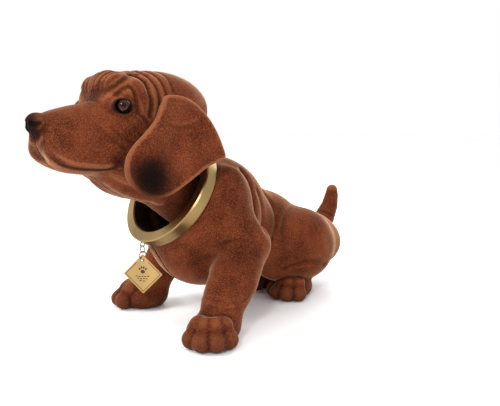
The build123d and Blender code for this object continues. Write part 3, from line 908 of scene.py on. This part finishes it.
def from_tail_fold(f, u):
    return bump_line(u - TAIL_FOLD[1] - TAIL_FOLD_SLOPE * (f - TAIL_FOLD[0]), TAIL_FOLD_WIDTH)


def build_tail():
    clay = Clay(TAIL_LOW, TAIL_HIGH, TAIL_STEP)
    clay.add(TAIL, 1)
    clay.press(lambda f, l, u: TAIL_FOLD_DEPTH * from_tail_fold(f, u))
    clay.keep_skin()
    piece, points = clay.mesh("tail_flocked", straight_points)
    # painted shade along the tail's fold
    paint_relief_shading(piece, clay, points, TAIL_FOLD_SHADE * from_tail_fold(points[:, 0], points[:, 2]))
    give_attribute(piece, "sprayed_black_and_shade", np.zeros(len(points)))
    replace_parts(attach(piece, "root"), "tail")
    dress(piece, FLOCK)


# ---------------------------------------------------------------- collar ring
RING_BORE = 33.2


def paint_ring_bore_shade(ring):
    """The ring's bore and sleeve are painted dark as shade in the neck's hollow; only its outside and front
    are gold.
    """
    ring.data.materials.append(RING_BORE_SHADE)
    for polygon in ring.data.polygons:
        x, y, z = np.array(polygon.center) * 1000
        f, l, u = MIDDLE_Y - y, x - MIDDLE_X, z
        off_axis = math.hypot(l, (u - RING_HEIGHT) * RING_AHEAD[0] - f * RING_AHEAD[1])
        if off_axis < RING_BORE or ahead_of_ring(f, u) < RING_BACK_FACE:
            polygon.material_index = 1


# ---------------------------------------------------------------- tag, in metres
TAG_FACING = math.radians(40)
TAG_SURFACE, MARK_SUNK, MARK_RAISED = 0.00047, 0.00004, 0.00005     # out from the plate's middle
BORDER_INSET, BORDER_GAP, BORDER_WIDTH = 0.0014, 0.0042, 0.00038
PAD_MARK = (0, 0.0016), 0.0016, 0.0013
TOE_MARKS = ((-0.0023, 0.0036, 0.4), (-0.0008, 0.0046, 0.1), (0.0008, 0.0046, -0.1), (0.0023, 0.0036, -0.4))
TOE_MARK = 0.0006, 0.0009
BLOB_SIDES = 20
DASH_ROWS = ((-0.0017, 0.0052), (-0.0033, 0.0040), (-0.0049, 0.0026))      # up, half the row's length
DASH_STEP, DASH_SHARE, DASH_WAVE, DASH_WIDTH = 0.0009, 0.65, 0.00012, 0.0007


def build_tag_print():
    """An engraved border, a paw mark and rows of dashes, in place of the words on the real tag."""
    low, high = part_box("tag")
    centre = np.array((low + high) / 2)
    right = np.array([math.cos(TAG_FACING), math.sin(TAG_FACING), 0])
    normal = np.array([math.sin(TAG_FACING), -math.cos(TAG_FACING), 0])
    shape = bmesh.new()

    def slab(outline):
        """A thin raised mark with this outline, in metres right and up from the plate's middle."""
        corners = [centre + right * a + np.array([0, 0, b]) for a, b in outline]
        rings = [[shape.verts.new(corner + normal * depth) for corner in corners]
                 for depth in (TAG_SURFACE - MARK_SUNK, TAG_SURFACE + MARK_RAISED)]
        shape.faces.new(rings[0][::-1])
        shape.faces.new(rings[1])
        for n in range(len(outline)):
            m = (n + 1) % len(outline)
            shape.faces.new((rings[0][n], rings[0][m], rings[1][m], rings[1][n]))

    def bar(a, b, width=BORDER_WIDTH):
        a, b = np.array(a), np.array(b)
        side = np.array([a[1] - b[1], b[0] - a[0]])
        side = side / np.linalg.norm(side) * width / 2
        slab([a - side, b - side, b + side, a + side])

    def blob(place, wide, tall, turn=0.0):
        ends = [(wide * math.cos(t), tall * math.sin(t))
                for t in np.linspace(0, 2 * math.pi, BLOB_SIDES, endpoint=False)]
        slab([(place[0] + p * math.cos(turn) - q * math.sin(turn),
               place[1] + p * math.sin(turn) + q * math.cos(turn)) for p, q in ends])

    reach = (high[2] - low[2]) / 2 - BORDER_INSET
    bar((BORDER_GAP, reach - BORDER_GAP), (reach, 0))       # the border stays clear of the hole at the top
    bar((reach, 0), (0, -reach))
    bar((0, -reach), (-reach, 0))
    bar((-reach, 0), (-BORDER_GAP, reach - BORDER_GAP))
    blob(*PAD_MARK)
    for a, b, turn in TOE_MARKS:
        blob((a, b), *TOE_MARK, turn)
    for up, half_row in DASH_ROWS:
        dashes = int(half_row / DASH_STEP)
        step = 2 * half_row / dashes
        for n in range(dashes):
            start, level = -half_row + step * n, up + DASH_WAVE * (-1) ** n
            bar((start, level), (start + DASH_SHARE * step, level), DASH_WIDTH)
    bmesh.ops.recalc_face_normals(shape, faces=shape.faces)
    marks = mesh_piece(shape, "tag_marks")
    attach(marks, "tag_plate")
    dress(marks, ENGRAVING)


# ---------------------------------------------------------------- everything in its place
for piece in [*build_body(), *build_head(), *build_ears()]:
    dress(piece, FLOCK)
build_eyes()
build_tail()
build_tag_print()

CAD_NODE_MATERIALS = {
    "collar_ring": RING_GOLD, "collar_eyelet": WIRE_GOLD, "tag_link_upper": WIRE_GOLD,
    "tag_link_lower": WIRE_GOLD, "tag": TAG_GOLD, "hanger_hook": STEEL, "hanger_eye": STEEL,
    "swivel": STEEL, "neck_staple": STEEL, "counterweight": WEIGHT, "weight_plug": BLACK_PLASTIC,
}
for name, made in CAD_NODE_MATERIALS.items():
    dress(frame["nodes"][name], made)
paint_ring_bore_shade(frame["nodes"]["collar_ring"])


# ---------------------------------------------------------------- floor, lights and camera
FLOOR_SIZE, FLOOR_DROP = 60, 0.0004
MIDDLE = (0, 0, 0.08)
CAMERA_PLACE, CAMERA_AHEAD = (0.3307, -0.2223, 0.136), (-0.7350, 0.6657, -0.1274)   # from below the ring
LENS, SENSOR_WIDTH = 39.8, 36


def area_light(name, place, size, power):
    lamp = bpy.data.lights.new(name, "AREA")
    lamp.shape, lamp.size, lamp.size_y = "RECTANGLE", *size
    lamp.energy = power
    holder = bpy.data.objects.new(name, lamp)
    bpy.context.scene.collection.objects.link(holder)
    holder.location = place
    holder.rotation_euler = (Vector(MIDDLE) - Vector(place)).to_track_quat("-Z", "Y").to_euler()


bpy.ops.mesh.primitive_plane_add(size=FLOOR_SIZE, location=(0, 0, -FLOOR_DROP))
floor = bpy.context.object
floor.name = "floor"
floor_look, _, floor_shader = material("pale_floor", Roughness=0.6)
floor_shader.inputs["Base Color"].default_value = colour(255, 255, 255)
floor.data.materials.append(floor_look)

world = bpy.data.worlds.new("studio")
world.use_nodes = True
world.node_tree.nodes["Background"].inputs["Color"].default_value = colour(255, 255, 255)
world.node_tree.nodes["Background"].inputs["Strength"].default_value = 1.0
bpy.context.scene.world = world

area_light("key", (-0.5, -0.75, 0.9), (0.6, 0.6), 9)
area_light("fill", (0.55, -0.75, 0.62), (0.14, 0.14), 4)
area_light("back", (-0.3, 0.9, 0.8), (0.9, 0.6), 7)

camera_data = bpy.data.cameras.new("camera")
camera_data.lens, camera_data.sensor_width = LENS, SENSOR_WIDTH
camera = bpy.data.objects.new("camera", camera_data)
bpy.context.scene.collection.objects.link(camera)
camera.location = Vector(CAMERA_PLACE) + Vector((MIDDLE_X, MIDDLE_Y, 0)) / 1000
camera.rotation_euler = Vector(CAMERA_AHEAD).to_track_quat("-Z", "Y").to_euler()
bpy.context.scene.camera = camera
bpy.context.scene.view_settings.view_transform = "Standard"
